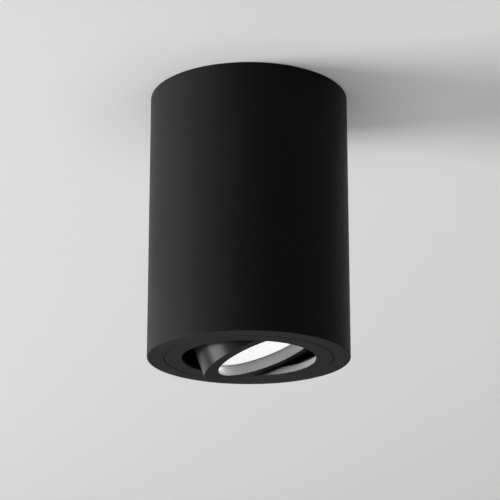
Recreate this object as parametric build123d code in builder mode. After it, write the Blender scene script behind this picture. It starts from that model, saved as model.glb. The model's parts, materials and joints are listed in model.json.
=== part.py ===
from build123d import *

import os
from math import cos, hypot, radians, sin, sqrt

# Surface mounted ceiling spotlight: a black aluminium cylinder with a swivelling trim ring in its mouth and a
# lamp cup that tilts in the ring. Millimetres. The ceiling is the plane z = 0, with the origin on the
# cylinder's axis, and the light hangs towards -Z. The cup tilts in the XZ plane, here tipped towards +X.

# ---------------------------------------------------------------------------------------------------------
# Driving dimensions
# ---------------------------------------------------------------------------------------------------------

# Cylinder
body_d = 88.0
body_h = 120.0
wall_t = 2.2
body_bevel = 0.35  # broken outer edges

# Replaceable reflector lamp with a twist-lock base, and its parts
lamp_d = 50.0
lamp_rim_t = 4.0
lamp_neck_step = 2.4  # the body steps in behind the rim
lamp_body_l = 33.0  # tapered body behind the rim
lamp_tail_d = 28.4
lamp_wall = 1.6
lens_t = 1.8
lens_seat_w = 1.3  # width of the lens above the light chamber
chamber_h = 5.6  # lens to the lamp's inner floor
floor_t = 2.2
led_board_t = 1.2
led_size = (3.5, 2.8, 0.8)
led_circle_d = 22.0
led_count = 6
driver_size = (18.0, 1.2, 22.0)
capacitor_d = 7.6
capacitor_l = 11.0
inductor_size = (8.4, 6.6, 8.0)
base_l = 12.0
base_end_d = 23.0
base_wall = 1.8
pin_spacing = 10.0
pin_neck_d = 3.0
pin_neck_l = 3.5
pin_head_d = 5.0
pin_head_l = 3.2
pin_root_l = 4.0  # anchored in the base

# Lamp cup
cup_wall = 2.5
lamp_clear = 0.5  # radial room around the lamp
lip_t = 5.0  # front lip: the lens lies this far behind the face
lip_cover = 3.55  # how far the lip covers the lamp's rim
cup_l = 29.5
cup_edge = 0.4  # rounding of the front edge
mouth_edge = 0.25
boss_d = 9.0
boss_h = 0.3

# Tilt axis
pivot_to_face = 20.9
face_recess = 0.4  # how far the face lies inside the ring when it points straight down
tilt_rest = 20.0

# Trim ring and its seat
ring_t = 3.3
mouth_gap = 0.95  # around the cup
mouth_land = 1.5  # straight part of the ring's hole
swing_gap = 0.25  # between the swinging cup and the ring's flared hole
swivel_gap = 0.5  # between the swinging cup and the ledge
ring_gap = 0.4  # groove around the ring
ring_lift = 0.2  # between the ring's back and the ledge
ledge_w = 1.5
ledge_t = 3.0
ledge_ramp = 2.0

# Pivot brackets
bracket_t = 1.5
bracket_foot_w = 17.0
bracket_ear_w = 11.0
bracket_bend_r = 1.0
bracket_rim_gap = 0.4  # to the ledge's bore
washer_t = 0.5
washer_d = 8.4
run_gap = 0.05  # between faces and on shafts that turn
thread_gap = 0.05  # between a screw's shank and its hole
shoulder_d = 4.0
pivot_thread_d = 3.0
pivot_head_d = 6.8
pivot_head_h = 1.8
tip_gap = 0.2  # screw tips stay short of what is behind them

# Small screws on the ring's back
small_screw_d = 2.0
small_head_d = 3.0
small_head_h = 0.9
small_tap_depth = 2.2
small_screw_wall = 0.3  # from a head to the upright sheet beside it
bracket_screw_spread = 12.6

# Leaf springs that hold the ring up
spring_t = 0.4
spring_w = 6.5
spring_angle = 24.0  # from the tilt axis, either side
spring_foot_l = 4.0
spring_rise_gap = 0.45  # from the upright leaf to the ledge's bore
spring_bulge = 1.7  # how far the leaf reaches over the ledge
spring_bulge_h = 3.2
spring_top_h = 8.0
spring_over = 0.9  # where the leaf starts to bulge, above the ledge
spring_bend_r = 0.6

# Wire ring behind the lamp
clip_wire_d = 1.8
clip_inset = 0.3  # wire centre inside the cup's bore
clip_opening = 46.0
clip_bend_r = 1.2
clip_leg = 0.5
groove_gap = 0.05

# Lampholder
holder_l = 33.0
holder_w = 22.0
holder_body_t = 11.5
holder_cover_t = 3.5
holder_front_t = 3.0
holder_gap = 0.1  # to the lamp's base
key_slot_gap = 0.3  # around the pin's neck and head
key_turn = 32.0
contact_chamber_d = 18.4
contact_t = 0.5
contact_w = 4.0
contact_foot = 2.0
holder_screw_d = 3.0
holder_head_d = 5.2
holder_head_h = 1.6
holder_screw_spacing = 25.2
lead_hole_d = 2.6
lead_hole_spacing = 11.0

# Mounting plate
plate_t = 1.5
plate_gap = 0.5
dish_d = 20.0
dish_depth = 2.6
dish_slope = 2.0
slot_spacing = 50.0
slot_l = 16.0
slot_w = 4.6
tab_w = 14.0
tab_l = 16.0
tab_relief = 1.5
tab_bend_r = 1.2

# Side screws, their pads in the cylinder and their level
side_screw_z = -10.0
side_screw_d = 4.0
side_screw_tip_d = 1.4
side_socket_af = 2.0
side_socket_depth = 2.0
side_sink = 0.3  # below the cylinder's surface
pad_t = 2.4
pad_w = 12.0
pad_gap = 0.6  # pad to tab
tab_hole_d = 3.6

# Cable grommet
grommet_bore_d = 8.0
grommet_hole_d = 13.0
grommet_flange_d = 18.0
grommet_top_t = 1.5
grommet_low_t = 2.0
grommet_nose_d = 12.0
grommet_nose_l = 3.0

# Terminal strip
pole_pitch = 11.0
pole_w = 7.4
strip_w = 17.0
strip_h = 13.0
strip_step_h = 8.6  # height of its wide part
strip_top_w = 13.0
strip_web_h = 6.0  # between the poles
clamp_z = 5.6  # clamp axis below the plate
clamp_d = 5.6
clamp_bore_d = 3.2
clamp_l = 14.0
clamp_gap = 0.1
clamp_screw_d = 2.6
clamp_head_d = 3.4
clamp_head_h = 1.5
clamp_head_sink = 0.6
clamp_screw_spacing = 8.4
well_gap = 0.2
fixing_screw_d = 2.9
fixing_head_d = 4.2
fixing_head_h = 1.6

# Earth point
earth_screw_d = 4.0
earth_head_d = 7.6
earth_head_h = 2.6
earth_washer_d = 8.0
earth_washer_t = 0.7
earth_tag_d = 9.0
earth_tag_t = 0.8
earth_barrel_d = 3.6
earth_barrel_bore_d = 2.2
earth_barrel_l = 6.0

# ---------------------------------------------------------------------------------------------------------
# Dimensions that follow
# ---------------------------------------------------------------------------------------------------------

body_r = body_d / 2
inner_r = body_r - wall_t
bottom_z = -body_h

lamp_r = lamp_d / 2
cup_bore_r = lamp_r + lamp_clear
cup_r = cup_bore_r + cup_wall
cup_mouth_r = lamp_r - lip_cover

# The cup's rounded front edge swings on a sphere about the tilt axis.
pivot_z = bottom_z + face_recess + pivot_to_face
swing_r = hypot(cup_r - cup_edge, pivot_to_face - cup_edge) + cup_edge


def swing_at(z):
    """Radius that the swinging cup reaches at height z."""
    return sqrt(swing_r**2 - (pivot_z - z) ** 2)


ring_back_z = bottom_z + ring_t
ring_mouth_r = cup_r + mouth_gap
ring_flare_r = swing_at(ring_back_z) + swing_gap
ledge_r = swing_r + swivel_gap
seat_r = ledge_r + ledge_w
ring_r = seat_r - ring_gap
ledge_z = ring_back_z + ring_lift
ledge_top_z = ledge_z + ledge_t

# Distances along the cup's axis, from the tilt axis towards the lamp's back
face_s = -pivot_to_face
shoulder_s = face_s + lip_t
rim_back_s = shoulder_s + lamp_rim_t
clip_s = rim_back_s + clip_wire_d / 2
cup_back_s = face_s + cup_l
lamp_neck_r = lamp_r - lamp_neck_step
lamp_tail_r = lamp_tail_d / 2
lamp_tail_s = rim_back_s + lamp_body_l
chamber_r = lamp_neck_r - lamp_wall
lens_r = chamber_r + lens_seat_w
lens_back_s = shoulder_s + lens_t
floor_front_s = lens_back_s + chamber_h
floor_back_s = floor_front_s + floor_t
base_end_s = lamp_tail_s + base_l
holder_s = base_end_s + holder_gap
holder_cover_s = holder_s + holder_body_t
holder_back_s = holder_cover_s + holder_cover_t

# Distances along the tilt axis, from the cup's middle outwards
boss_y = cup_r + boss_h
ear_in_y = boss_y + washer_t + run_gap
ear_out_y = ear_in_y + bracket_t
pivot_head_y = ear_out_y + run_gap

# Tabs and pads
pad_x = inner_r - pad_t
tab_x = pad_x - pad_gap
plate_r = inner_r - plate_gap
dish_r = dish_d / 2

# The terminal strip and the earth point lie midway between the dish and a tab.
strip_x = (dish_r + dish_slope + tab_x - plate_t) / 2
earth_x = -strip_x

tilt = radians(tilt_rest)
head_x = Vector(cos(tilt), 0, sin(tilt))
head_back = Vector(-sin(tilt), 0, cos(tilt))
pivot = Vector(0, 0, pivot_z)
head_axis = Axis(pivot, head_back)
head_section = Plane(origin=pivot, x_dir=head_x, z_dir=(0, -1, 0))


def head_plane(s):
    """Plane across the cup's axis, s behind the tilt axis, facing the lamp's back."""
    return Plane(origin=pivot + head_back * s, x_dir=head_x, z_dir=head_back)


def side_plane(side, y, z):
    """Upright plane across the tilt axis at side * y, facing outwards, with its origin at height z."""
    return Plane(origin=(0, side * y, z), x_dir=(-side, 0, 0), z_dir=(0, side, 0))


def radial_plane(angle):
    """Upright plane through the cylinder's axis, with its x direction at this angle."""
    a = radians(angle)
    return Plane(origin=(0, 0, 0), x_dir=(cos(a), sin(a), 0), z_dir=(sin(a), -cos(a), 0))


def save(builder, name):
    """Label a finished piece and write it."""
    builder.part.label = name
    export_step(builder.part, f"parts/{name}.step")


os.makedirs("parts", exist_ok=True)

# ---------------------------------------------------------------------------------------------------------
# Fixed part: cylinder, mounting plate and connections
# ---------------------------------------------------------------------------------------------------------

# One-piece cylinder with a thick rim, the ring's seat, the ledge above it and two pads for the side screws
with BuildPart() as housing:
    with BuildSketch(Plane.XZ):
        with BuildLine():
            Polyline(
                (inner_r, 0),
                (body_r - body_bevel, 0),
                (body_r, -body_bevel),
                (body_r, bottom_z + body_bevel),
                (body_r - body_bevel, bottom_z),
                (seat_r, bottom_z),
                (seat_r, ledge_z),
                (ledge_r, ledge_z),
                (ledge_r, ledge_top_z),
                (inner_r - ledge_ramp, ledge_top_z),
                (inner_r, ledge_top_z + ledge_ramp),
                close=True,
            )
        make_face()
    revolve(axis=Axis.Z)
    for side in (-1, 1):
        pad_plane = Plane(origin=(side * pad_x, 0, side_screw_z), x_dir=(0, side, 0), z_dir=(side, 0, 0))
        with BuildSketch(pad_plane):
            RectangleRounded(pad_w, pad_w, pad_w / 4)
        extrude(amount=pad_t + wall_t / 2)
        with BuildSketch(pad_plane):
            Circle(side_screw_d / 2 + thread_gap)
        extrude(amount=body_r, mode=Mode.SUBTRACT)
save(housing, "housing")

# Pressed steel plate: dished middle for the grommet, two slots for the ceiling screws, two bent tabs
with BuildPart() as mounting_plate:
    with BuildSketch(Plane.XZ):
        with BuildLine():
            Polyline(
                (grommet_hole_d / 2, -dish_depth),
                (dish_r, -dish_depth),
                (dish_r + dish_slope, 0),
                (plate_r, 0),
                (plate_r, -plate_t),
                (dish_r + dish_slope + plate_t / 2, -plate_t),
                (dish_r + plate_t / 2, -dish_depth - plate_t),
                (grommet_hole_d / 2, -dish_depth - plate_t),
                close=True,
            )
        make_face()
    revolve(axis=Axis.Z)
    for side in (-1, 1):
        with BuildSketch(Plane.XY):
            with Locations((side * (tab_x + body_r) / 2, 0)):
                Rectangle(body_r - tab_x, tab_w + 2 * tab_relief)
        extrude(amount=-plate_t, mode=Mode.SUBTRACT)
        tab_plane = Plane(origin=(side * tab_x, 0, 0), x_dir=(0, side, 0), z_dir=(side, 0, 0))
        with BuildSketch(tab_plane):
            with Locations((0, -tab_l / 2)):
                RectangleRounded(tab_w, tab_l, tab_relief)
            with Locations((0, -tab_l / 4)):
                Rectangle(tab_w, tab_l / 2)
        extrude(amount=-plate_t)
        with BuildSketch(tab_plane):
            with Locations((0, side_screw_z)):
                Circle(tab_hole_d / 2)
        extrude(amount=-plate_t, mode=Mode.SUBTRACT)
    bends = mounting_plate.edges().filter_by(Axis.Y).group_by(Axis.Z)[-1].sort_by(Axis.X)
    fillet([bends[0], bends[-1]], radius=tab_bend_r)
    with BuildSketch(Plane.XY):
        with GridLocations(0, slot_spacing, 1, 2):
            SlotOverall(slot_l, slot_w, rotation=90)
        with Locations((strip_x, 0)):
            with GridLocations(0, pole_pitch, 1, 2):
                Circle(fixing_screw_d / 2 + thread_gap)
        with Locations((earth_x, 0)):
            Circle(earth_screw_d / 2 + thread_gap)
    extrude(amount=-plate_t, mode=Mode.SUBTRACT)
save(mounting_plate, "mounting_plate")

# Two hexagon socket set screws, sunk just below the cylinder's surface, with their tips in the tabs
with BuildPart() as side_screws:
    tip_x = tab_x - plate_t
    cone_x = tab_x + pad_gap / 2
    for side in (-1, 1):
        turn_plane = Plane(origin=(0, 0, side_screw_z), x_dir=(side, 0, 0), z_dir=(0, -side, 0))
        with BuildSketch(turn_plane):
            with BuildLine():
                Polyline(
                    (tip_x, 0),
                    (tip_x, side_screw_tip_d / 2),
                    (cone_x, side_screw_d / 2),
                    (body_r - side_sink, side_screw_d / 2),
                    (body_r - side_sink, 0),
                    close=True,
                )
            make_face()
        revolve(axis=Axis((0, 0, side_screw_z), (1, 0, 0)))
        with BuildSketch(Plane(origin=(side * (body_r - side_sink), 0, side_screw_z), z_dir=(side, 0, 0))):
            RegularPolygon(side_socket_af / 2, 6, major_radius=False)
        extrude(amount=-side_socket_depth, mode=Mode.SUBTRACT)
save(side_screws, "side_screws")

# Rubber grommet in the dish, with the bore that the ceiling cable comes through
with BuildPart() as cable_grommet:
    low_z = -dish_depth - plate_t
    with BuildSketch(Plane.XZ):
        with BuildLine():
            Polyline(
                (grommet_bore_d / 2, grommet_top_t - dish_depth),
                (grommet_flange_d / 2, grommet_top_t - dish_depth),
                (grommet_flange_d / 2, -dish_depth),
                (grommet_hole_d / 2, -dish_depth),
                (grommet_hole_d / 2, low_z),
                (grommet_flange_d / 2, low_z),
                (grommet_flange_d / 2, low_z - grommet_low_t),
                (grommet_nose_d / 2, low_z - grommet_low_t - grommet_nose_l),
                (grommet_bore_d / 2, low_z - grommet_low_t - grommet_nose_l),
                close=True,
            )
        make_face()
    revolve(axis=Axis.Z)
save(cable_grommet, "cable_grommet")

# Three-pole terminal strip under the plate
pole_ys = (-pole_pitch, 0, pole_pitch)
strip_z = -plate_t
with BuildPart() as terminal_block:
    with BuildSketch(Plane.XZ.offset(-pole_pitch - pole_w / 2)):
        with BuildLine():
            Polyline(
                (strip_x - strip_w / 2, strip_z),
                (strip_x + strip_w / 2, strip_z),
                (strip_x + strip_w / 2, strip_z - strip_step_h),
                (strip_x + strip_top_w / 2, strip_z - strip_step_h),
                (strip_x + strip_top_w / 2, strip_z - strip_h),
                (strip_x - strip_top_w / 2, strip_z - strip_h),
                (strip_x - strip_top_w / 2, strip_z - strip_step_h),
                (strip_x - strip_w / 2, strip_z - strip_step_h),
                close=True,
            )
        make_face()
    extrude(amount=2 * pole_pitch + pole_w)
    with BuildSketch(Plane.XY.offset(strip_z - strip_web_h)):
        with Locations((strip_x, 0)):
            with GridLocations(0, pole_pitch, 1, 2):
                Rectangle(strip_w, pole_pitch - pole_w)
                Circle(fixing_head_d / 2 + well_gap)
    extrude(amount=-strip_h, mode=Mode.SUBTRACT)
    with BuildSketch(Plane.XY.offset(strip_z)):
        with Locations((strip_x, 0)):
            with GridLocations(0, pole_pitch, 1, 2):
                Circle(fixing_screw_d / 2 + well_gap)
    extrude(amount=-strip_h, mode=Mode.SUBTRACT)
    with BuildSketch(Plane.YZ.offset(strip_x - strip_w / 2)):
        with Locations((0, strip_z - clamp_z)):
            with GridLocations(pole_pitch, 0, 3, 1):
                Circle(clamp_d / 2 + clamp_gap)
    extrude(amount=strip_w, mode=Mode.SUBTRACT)
    with BuildSketch(Plane.XY.offset(strip_z - strip_h)):
        with Locations((strip_x, 0)):
            with GridLocations(clamp_screw_spacing, pole_pitch, 2, 3):
                Circle(clamp_head_d / 2 + well_gap)
    extrude(amount=strip_h - clamp_z, mode=Mode.SUBTRACT)
save(terminal_block, "terminal_block")


def make_clamp(name, y):
    """Brass tube of one pole, with its two tapped cross holes."""
    with BuildPart() as clamp:
        with BuildSketch(Plane.YZ.offset(strip_x - clamp_l / 2)):
            with Locations((y, strip_z - clamp_z)):
                Circle(clamp_d / 2)
                Circle(clamp_bore_d / 2, mode=Mode.SUBTRACT)
        extrude(amount=clamp_l)
        with BuildSketch(Plane.XY.offset(strip_z - clamp_z)):
            with Locations((strip_x, y)):
                with GridLocations(clamp_screw_spacing, 0, 2, 1):
                    Circle(clamp_screw_d / 2 + thread_gap)
        extrude(amount=-clamp_d, mode=Mode.SUBTRACT)
    save(clamp, name)


for pole, pole_y in zip(("live", "earth", "neutral"), pole_ys):
    make_clamp(f"terminal_clamp_{pole}", pole_y)

# Six slotted clamp screws
with BuildPart() as terminal_screws:
    head_z = strip_z - strip_h + clamp_head_sink
    clamp_places = [(strip_x + side * clamp_screw_spacing / 2, y) for side in (-1, 1) for y in pole_ys]
    with BuildSketch(Plane.XY.offset(head_z)):
        with Locations(*clamp_places):
            Circle(clamp_head_d / 2)
    extrude(amount=clamp_head_h)
    with BuildSketch(Plane.XY.offset(head_z + clamp_head_h)):
        with Locations(*clamp_places):
            Circle(clamp_screw_d / 2)
    extrude(amount=strip_z - clamp_z - head_z - clamp_head_h)
    with BuildSketch(Plane.XY.offset(head_z)):
        with Locations(*clamp_places):
            Rectangle(clamp_head_d, clamp_head_h / 3)
    extrude(amount=clamp_head_h / 2, mode=Mode.SUBTRACT)
save(terminal_screws, "terminal_screws")

# Two screws that hold the strip on the plate
with BuildPart() as terminal_fixing_screws:
    with BuildSketch(Plane.XY.offset(strip_z - strip_web_h)):
        with Locations((strip_x, 0)):
            with GridLocations(0, pole_pitch, 1, 2):
                Circle(fixing_head_d / 2)
    extrude(amount=-fixing_head_h)
    with BuildSketch(Plane.XY.offset(strip_z - strip_web_h)):
        with Locations((strip_x, 0)):
            with GridLocations(0, pole_pitch, 1, 2):
                Circle(fixing_screw_d / 2)
    extrude(amount=strip_web_h + plate_t - tip_gap)
save(terminal_fixing_screws, "terminal_fixing_screws")

# Earth point: tag against the plate, toothed washer and screw
tag_z = -plate_t
with BuildPart() as earth_tag:
    with BuildSketch(Plane.XY.offset(tag_z)):
        with Locations((earth_x, 0)):
            Circle(earth_tag_d / 2)
        with Locations((earth_x, -earth_tag_d / 2)):
            Rectangle(earth_barrel_d, earth_tag_d)
        with Locations((earth_x, 0)):
            Circle(earth_screw_d / 2 + thread_gap, mode=Mode.SUBTRACT)
    extrude(amount=-earth_tag_t)
    with BuildSketch(Plane.XZ.offset(earth_tag_d)):
        with Locations((earth_x, tag_z - earth_barrel_d / 2)):
            Circle(earth_barrel_d / 2)
            Circle(earth_barrel_bore_d / 2, mode=Mode.SUBTRACT)
    extrude(amount=earth_barrel_l)
save(earth_tag, "earth_tag")

with BuildPart() as earth_washer:
    with BuildSketch(Plane.XY.offset(tag_z - earth_tag_t)):
        with Locations((earth_x, 0)):
            Circle(earth_washer_d / 2)
            with PolarLocations(earth_washer_d / 2, 10):
                Circle(earth_washer_t / 2, mode=Mode.SUBTRACT)
            Circle(earth_screw_d / 2 + thread_gap, mode=Mode.SUBTRACT)
    extrude(amount=-earth_washer_t)
save(earth_washer, "earth_washer")

with BuildPart() as earth_screw:
    earth_head_z = tag_z - earth_tag_t - earth_washer_t
    with BuildSketch(Plane.XY.offset(earth_head_z)):
        with Locations((earth_x, 0)):
            Circle(earth_head_d / 2)
    extrude(amount=-earth_head_h)
    fillet(earth_screw.edges().sort_by(Axis.Z)[0], radius=earth_head_h / 3)
    with BuildSketch(Plane.XY.offset(earth_head_z)):
        with Locations((earth_x, 0)):
            Circle(earth_screw_d / 2)
    extrude(amount=-earth_head_z - tip_gap)
save(earth_screw, "earth_screw")

# ---------------------------------------------------------------------------------------------------------
# Swivelling trim ring, its brackets and springs
# ---------------------------------------------------------------------------------------------------------

bracket_screw_y = ear_out_y + small_screw_wall + small_head_d / 2
spring_foot_r = ledge_r - spring_rise_gap - spring_t  # inner face of the upright leaf
spring_screw_r = spring_foot_r - small_screw_wall - small_head_d / 2
spring_angles = [side + turn for side in (90, 270) for turn in (-spring_angle, spring_angle)]
bracket_screw_places = [
    (side_x * bracket_screw_spread / 2, side_y * bracket_screw_y) for side_x in (-1, 1) for side_y in (-1, 1)
]
spring_screw_places = [
    (spring_screw_r * cos(radians(angle)), spring_screw_r * sin(radians(angle))) for angle in spring_angles
]

# Ring with a short straight mouth that flares to clear the swinging cup
with BuildPart() as trim_ring:
    with BuildSketch(Plane.XZ):
        with BuildLine():
            Polyline(
                (ring_mouth_r, bottom_z),
                (ring_r, bottom_z),
                (ring_r, ring_back_z),
                (ring_flare_r, ring_back_z),
                (ring_mouth_r, bottom_z + mouth_land),
                close=True,
            )
        make_face()
    revolve(axis=Axis.Z)
    with BuildSketch(Plane.XY.offset(ring_back_z)):
        with Locations(*bracket_screw_places, *spring_screw_places):
            Circle(small_screw_d / 2 + thread_gap)
    extrude(amount=-small_tap_depth, mode=Mode.SUBTRACT)
save(trim_ring, "trim_ring")


def make_bracket(name, side):
    """Bent steel bracket: a foot on the ring's back and an ear with the cup's pivot hole."""
    with BuildPart() as bracket:
        with BuildSketch(Plane.XY.offset(ring_back_z)):
            Circle(ledge_r - bracket_rim_gap)
            with Locations((0, side * (ear_in_y + ledge_r / 2))):
                Rectangle(bracket_foot_w, ledge_r, mode=Mode.INTERSECT)
        extrude(amount=bracket_t)
        with BuildSketch(side_plane(side, ear_in_y, pivot_z)):
            Circle(bracket_ear_w / 2)
            with Locations((0, (ring_back_z - pivot_z) / 2)):
                Rectangle(bracket_ear_w, pivot_z - ring_back_z)
        extrude(amount=bracket_t)
        top_edges = bracket.edges().filter_by(Axis.X).group_by(Axis.Z)[-1].sort_by(Axis.Y)
        fillet(top_edges[-1 if side > 0 else 0], radius=bracket_bend_r)
        with BuildSketch(side_plane(side, ear_in_y, pivot_z)):
            Circle(shoulder_d / 2 + run_gap)
        extrude(amount=bracket_t, mode=Mode.SUBTRACT)
        with BuildSketch(Plane.XY.offset(ring_back_z)):
            with Locations(*bracket_screw_places):
                Circle(small_screw_d / 2 + thread_gap)
        extrude(amount=bracket_t, mode=Mode.SUBTRACT)
    save(bracket, name)


make_bracket("pivot_bracket_left", -1)
make_bracket("pivot_bracket_right", 1)


def make_ring_screws(name, places, sheet_t):
    """Pan head screws that clamp a sheet of this thickness on the ring's back."""
    with BuildPart() as screws:
        with BuildSketch(Plane.XY.offset(ring_back_z + sheet_t)):
            with Locations(*places):
                Circle(small_head_d / 2)
        extrude(amount=small_head_h)
        with BuildSketch(Plane.XY.offset(ring_back_z + sheet_t)):
            with Locations(*places):
                Circle(small_screw_d / 2)
        extrude(amount=tip_gap - small_tap_depth - sheet_t)
    save(screws, name)


make_ring_screws("bracket_screws", bracket_screw_places, bracket_t)
make_ring_screws("spring_screws", spring_screw_places, spring_t)


def make_spring(name, angle):
    """Leaf spring: a foot on the ring, an upright through the ledge's bore and a bulge over the ledge."""
    leaf_r = spring_foot_r + spring_t / 2
    foot_z = ring_back_z + spring_t / 2
    bulge_z = ledge_top_z + spring_over
    with BuildPart() as spring:
        with BuildSketch(radial_plane(angle)):
            with BuildLine() as leaf:
                FilletPolyline(
                    (leaf_r - spring_foot_l, foot_z),
                    (leaf_r, foot_z),
                    (leaf_r, bulge_z),
                    (leaf_r + spring_bulge, bulge_z + spring_bulge_h / 2),
                    (leaf_r + spring_bulge, bulge_z + spring_bulge_h),
                    (leaf_r - spring_bulge / 2, bulge_z + spring_top_h),
                    radius=spring_bend_r,
                )
            trace(line_width=spring_t)
        extrude(amount=spring_w / 2, both=True)
        with BuildSketch(Plane.XY.offset(ring_back_z)):
            with Locations(*spring_screw_places):
                Circle(small_screw_d / 2 + thread_gap)
        extrude(amount=spring_t, mode=Mode.SUBTRACT)
    save(spring, name)


for number, angle in enumerate(spring_angles, start=1):
    make_spring(f"retaining_spring_{number}", angle)

# ---------------------------------------------------------------------------------------------------------
# Tilting head: cup, pivots and clip
# ---------------------------------------------------------------------------------------------------------

clip_r = cup_bore_r - clip_inset
groove_r = clip_r + clip_wire_d / 2 + groove_gap

# Turned cup: front lip, lamp bore, groove for the clip and a flat boss at each pivot
with BuildPart() as lamp_cup:
    with BuildSketch(head_section) as cup_profile:
        with BuildLine():
            Polyline(
                (cup_mouth_r, face_s),
                (cup_r, face_s),
                (cup_r, cup_back_s),
                (cup_bore_r, cup_back_s),
                (cup_bore_r, clip_s + clip_wire_d / 2 + groove_gap),
                (groove_r, clip_s + clip_wire_d / 2 + groove_gap),
                (groove_r, clip_s - clip_wire_d / 2),
                (cup_bore_r, clip_s - clip_wire_d / 2),
                (cup_bore_r, shoulder_s),
                (cup_mouth_r, shoulder_s),
                close=True,
            )
        make_face()
        fillet(cup_profile.vertices().sort_by_distance((cup_r, face_s))[0], radius=cup_edge)
        fillet(cup_profile.vertices().sort_by_distance((cup_mouth_r, face_s))[0], radius=mouth_edge)
        chamfer(cup_profile.vertices().sort_by_distance((cup_r, cup_back_s))[0], length=cup_wall / 4)
        chamfer(cup_profile.vertices().sort_by_distance((cup_bore_r, cup_back_s))[0], length=cup_wall / 4)
    revolve(axis=head_axis)
    for side in (-1, 1):
        with BuildSketch(side_plane(side, cup_bore_r + cup_wall / 2, pivot_z)):
            Circle(boss_d / 2)
        extrude(amount=cup_wall / 2 + boss_h)
        with BuildSketch(side_plane(side, cup_bore_r - cup_wall, pivot_z)):
            Circle(pivot_thread_d / 2 + thread_gap)
        extrude(amount=2 * cup_wall + boss_h, mode=Mode.SUBTRACT)
save(lamp_cup, "lamp_cup")

# Two shoulder screws that the cup turns on, and a friction washer under each ear
with BuildPart() as pivot_screws:
    for side in (-1, 1):
        with BuildSketch(side_plane(side, cup_bore_r + tip_gap, pivot_z)):
            Circle(pivot_thread_d / 2)
        extrude(amount=boss_y - cup_bore_r - tip_gap)
        with BuildSketch(side_plane(side, boss_y, pivot_z)):
            Circle(shoulder_d / 2)
        extrude(amount=pivot_head_y - boss_y)
        with BuildSketch(side_plane(side, pivot_head_y, pivot_z)):
            Circle(pivot_head_d / 2)
        extrude(amount=pivot_head_h)
        with BuildSketch(side_plane(side, pivot_head_y + pivot_head_h, pivot_z)):
            RegularPolygon(pivot_thread_d / 2, 6)
        extrude(amount=-pivot_head_h / 2, mode=Mode.SUBTRACT)
save(pivot_screws, "pivot_screws")

with BuildPart() as friction_washers:
    for side in (-1, 1):
        with BuildSketch(side_plane(side, boss_y, pivot_z)):
            Circle(washer_d / 2)
            Circle(shoulder_d / 2 + run_gap, mode=Mode.SUBTRACT)
        extrude(amount=washer_t)
save(friction_washers, "friction_washers")

# Open wire ring in the cup's groove, with both ends turned inwards to grip it by
with BuildPart() as lamp_clip:
    with BuildLine(head_plane(clip_s)) as clip_path:
        round_wire = CenterArc((0, 0), clip_r, clip_opening / 2, 360 - clip_opening)
        first_bend = JernArc(round_wire @ 0, (round_wire % 0) * -1, clip_bend_r, -90)
        last_bend = JernArc(round_wire @ 1, round_wire % 1, clip_bend_r, 90)
        Line(first_bend @ 1, (first_bend @ 1) + (first_bend % 1) * clip_leg)
        Line(last_bend @ 1, (last_bend @ 1) + (last_bend % 1) * clip_leg)
    clip_wire = clip_path.wires()[0]
    with BuildSketch(Plane(origin=clip_wire @ 0, z_dir=clip_wire % 0)):
        Circle(clip_wire_d / 2)
    sweep(path=clip_wire)
save(lamp_clip, "lamp_clip")

# ---------------------------------------------------------------------------------------------------------
# Lamp
# ---------------------------------------------------------------------------------------------------------

# Opal lens, flush with the lamp's rim
with BuildPart() as lamp_lens:
    with BuildSketch(head_plane(shoulder_s)):
        Circle(lens_r)
    extrude(amount=lens_t)
save(lamp_lens, "lamp_lens")

# Lamp body: rim, light chamber, inner floor and a tapered tail that holds the driver
with BuildPart() as lamp_shell:
    taper_s = (rim_back_s + lamp_tail_s) / 2
    with BuildSketch(head_section):
        with BuildLine():
            Line((lens_r, shoulder_s), (lamp_r, shoulder_s))
            Line((lamp_r, shoulder_s), (lamp_r, rim_back_s))
            Line((lamp_r, rim_back_s), (lamp_neck_r, rim_back_s))
            Bezier((lamp_neck_r, rim_back_s), (lamp_neck_r - lamp_wall, taper_s), (lamp_tail_r, lamp_tail_s))
            Line((lamp_tail_r, lamp_tail_s), (lamp_tail_r - lamp_wall, lamp_tail_s))
            Bezier(
                (lamp_tail_r - lamp_wall, lamp_tail_s),
                (lamp_neck_r - 2 * lamp_wall, taper_s),
                (chamber_r - lamp_wall, floor_back_s),
            )
            Line((chamber_r - lamp_wall, floor_back_s), (0, floor_back_s))
            Line((0, floor_back_s), (0, floor_front_s))
            Line((0, floor_front_s), (chamber_r, floor_front_s))
            Line((chamber_r, floor_front_s), (chamber_r, lens_back_s))
            Line((chamber_r, lens_back_s), (lens_r, lens_back_s))
            Line((lens_r, lens_back_s), (lens_r, shoulder_s))
        make_face()
    revolve(axis=head_axis)
save(lamp_shell, "lamp_shell")

# Light source on the inner floor
board_s = floor_front_s - led_board_t
with BuildPart() as led_board:
    with BuildSketch(head_plane(board_s)):
        Circle(chamber_r - tip_gap)
    extrude(amount=led_board_t)
save(led_board, "led_board")

with BuildPart() as leds:
    with BuildSketch(head_plane(board_s)):
        Rectangle(led_size[0], led_size[1])
        with PolarLocations(led_circle_d / 2, led_count):
            Rectangle(led_size[0], led_size[1])
    extrude(amount=-led_size[2])
save(leds, "leds")

# Driver in the tail: an upright board with a capacitor on one face and an inductor on the other
driver_s = floor_back_s + driver_size[2] / 2
driver_face = driver_size[1] / 2
with BuildPart() as driver_board:
    with BuildSketch(head_plane(floor_back_s)):
        Rectangle(driver_size[0], driver_size[1])
    extrude(amount=driver_size[2])
save(driver_board, "driver_board")

with BuildPart() as driver_capacitor:
    with BuildSketch(head_plane(driver_s - capacitor_l / 2)):
        with Locations((0, driver_face + capacitor_d / 2)):
            Circle(capacitor_d / 2)
    extrude(amount=capacitor_l)
save(driver_capacitor, "driver_capacitor")

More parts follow.
